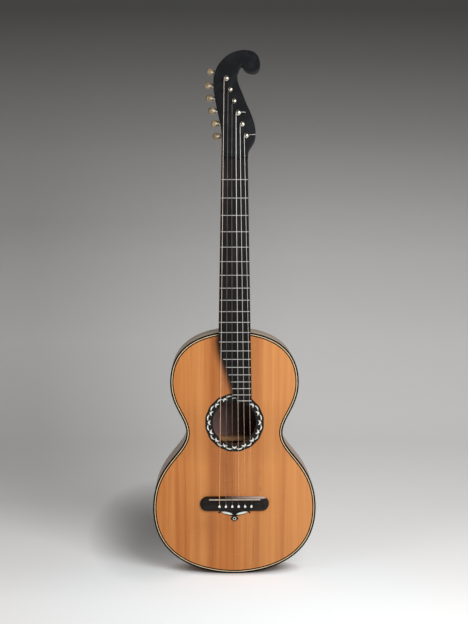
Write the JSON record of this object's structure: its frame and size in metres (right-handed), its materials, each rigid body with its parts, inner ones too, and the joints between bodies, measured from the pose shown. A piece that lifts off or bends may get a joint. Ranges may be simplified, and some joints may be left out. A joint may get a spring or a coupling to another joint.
{
  "type": "guitar",
  "caption": "Parlour guitar with a pearl-ringed soundhole, pin bridge, floating cut-away fingerboard and a scroll head that holds worm-geared string tuners.",
  "frame": {"origin": "tail end of the body on the centre line, in the face of the soundboard", "axes": "+Z from the tail up the neck, -Y out of the soundboard's face, +X to the treble side"},
  "size_m": [0.2964, 0.1029, 0.9451],
  "materials": {
    "spruce": "amber varnish, half gloss",
    "rosewood": "dark red-brown, polished",
    "blackened_wood": "black stained pear or maple, half gloss",
    "ebony": "black brown, hand-worn",
    "inner_spruce": "bare wood",
    "holly": "pale line between dark ones",
    "black_mastic": "black filler that holds the pearl",
    "bone": "aged bone, half gloss",
    "pearl": "white mother of pearl",
    "steel": "worn bright",
    "brass": "aged",
    "silver_wire": "dull silver winding",
    "gut": "pale, slightly clear"
  },
  "bodies": {
    "guitar_body": {"soundboard": "spruce", "rosette": "black_mastic", "top_binding": "blackened_wood", "top_purfling": "holly", "rib_bass": "rosewood", "rib_treble": "rosewood", "back": "rosewood", "back_binding": "blackened_wood", "neck_block": "inner_spruce", "tail_block": "inner_spruce", "top_lining_bass": "inner_spruce", "top_lining_treble": "inner_spruce", "back_lining_bass": "inner_spruce", "back_lining_treble": "inner_spruce", "top_brace_1": "inner_spruce", "top_brace_2": "inner_spruce", "top_brace_3": "inner_spruce", "top_brace_4": "inner_spruce", "back_brace_1": "inner_spruce", "back_brace_2": "inner_spruce", "back_brace_3": "inner_spruce", "bridge": "ebony", "bridge_ornament": "pearl", "saddle": "bone", "bridge_pin_1": "ebony", "bridge_pin_2": "ebony", "bridge_pin_3": "ebony", "bridge_pin_4": "ebony", "bridge_pin_5": "ebony", "bridge_pin_6": "ebony", "neck": "blackened_wood", "neck_screw": "steel", "fingerboard": "ebony", "nut": "ebony", "head": "blackened_wood", "tuner_plate": "brass", "string_1": "silver_wire", "string_2": "silver_wire", "string_3": "silver_wire", "string_4": "gut", "string_5": "gut", "string_6": "gut"},
    "post_1": {"tuner_post_1": "steel"},
    "worm_1": {"tuner_worm_1": "steel", "tuner_knob_1": "bone"},
    "post_2": {"tuner_post_2": "steel"},
    "worm_2": {"tuner_worm_2": "steel", "tuner_knob_2": "bone"},
    "post_3": {"tuner_post_3": "steel"},
    "worm_3": {"tuner_worm_3": "steel", "tuner_knob_3": "bone"},
    "post_4": {"tuner_post_4": "steel"},
    "worm_4": {"tuner_worm_4": "steel", "tuner_knob_4": "bone"},
    "post_5": {"tuner_post_5": "steel"},
    "worm_5": {"tuner_worm_5": "steel", "tuner_knob_5": "bone"},
    "post_6": {"tuner_post_6": "steel"},
    "worm_6": {"tuner_worm_6": "steel", "tuner_knob_6": "bone"}
  },
  "joints": [
    {"name": "post_1_turn", "type": "hinge", "parent": "guitar_body", "child": "post_1", "pos_m": [-0.01412, 0.04028, 0.88921], "axis": [0, 0.9703, -0.2419], "continuous": true},
    {"name": "worm_1_turn", "type": "hinge", "parent": "guitar_body", "child": "worm_1", "pos_m": [-0.01148, 0.04244, 0.89786], "axis": [0.9588, -0.0687, -0.2756], "continuous": true},
    {"name": "post_2_turn", "type": "hinge", "parent": "guitar_body", "child": "post_2", "pos_m": [-0.00718, 0.03523, 0.86895], "axis": [0, 0.9703, -0.2419], "continuous": true},
    {"name": "worm_2_turn", "type": "hinge", "parent": "guitar_body", "child": "worm_2", "pos_m": [-0.0062, 0.03747, 0.87793], "axis": [0.9945, -0.0253, -0.1014], "continuous": true},
    {"name": "post_3_turn", "type": "hinge", "parent": "guitar_body", "child": "post_3", "pos_m": [-0.00023, 0.03018, 0.8487], "axis": [0, 0.9703, -0.2419], "continuous": true},
    {"name": "worm_3_turn", "type": "hinge", "parent": "guitar_body", "child": "worm_3", "pos_m": [0.00019, 0.03243, 0.85771], "axis": [0.999, -0.011, -0.044], "continuous": true},
    {"name": "post_4_turn", "type": "hinge", "parent": "guitar_body", "child": "post_4", "pos_m": [0.00671, 0.02513, 0.82844], "axis": [0, 0.9703, -0.2419], "continuous": true},
    {"name": "worm_4_turn", "type": "hinge", "parent": "guitar_body", "child": "worm_4", "pos_m": [0.00665, 0.02738, 0.83747], "axis": [1, 0.0017, 0.0068], "continuous": true},
    {"name": "post_5_turn", "type": "hinge", "parent": "guitar_body", "child": "post_5", "pos_m": [0.01366, 0.02008, 0.80819], "axis": [0, 0.9703, -0.2419], "continuous": true},
    {"name": "worm_5_turn", "type": "hinge", "parent": "guitar_body", "child": "worm_5", "pos_m": [0.01307, 0.02233, 0.81719], "axis": [0.998, 0.0152, 0.0609], "continuous": true},
    {"name": "post_6_turn", "type": "hinge", "parent": "guitar_body", "child": "post_6", "pos_m": [0.0206, 0.01503, 0.78793], "axis": [0, 0.9703, -0.2419], "continuous": true},
    {"name": "worm_6_turn", "type": "hinge", "parent": "guitar_body", "child": "worm_6", "pos_m": [0.01961, 0.01727, 0.7969], "axis": [0.9943, 0.0257, 0.1031], "continuous": true}
  ],
  "couplings": [
    {"joint": "post_1_turn", "follows": "worm_1_turn", "ratio": -0.071429},
    {"joint": "post_2_turn", "follows": "worm_2_turn", "ratio": -0.071429},
    {"joint": "post_3_turn", "follows": "worm_3_turn", "ratio": -0.071429},
    {"joint": "post_4_turn", "follows": "worm_4_turn", "ratio": -0.071429},
    {"joint": "post_5_turn", "follows": "worm_5_turn", "ratio": -0.071429},
    {"joint": "post_6_turn", "follows": "worm_6_turn", "ratio": -0.071429}
  ]
}
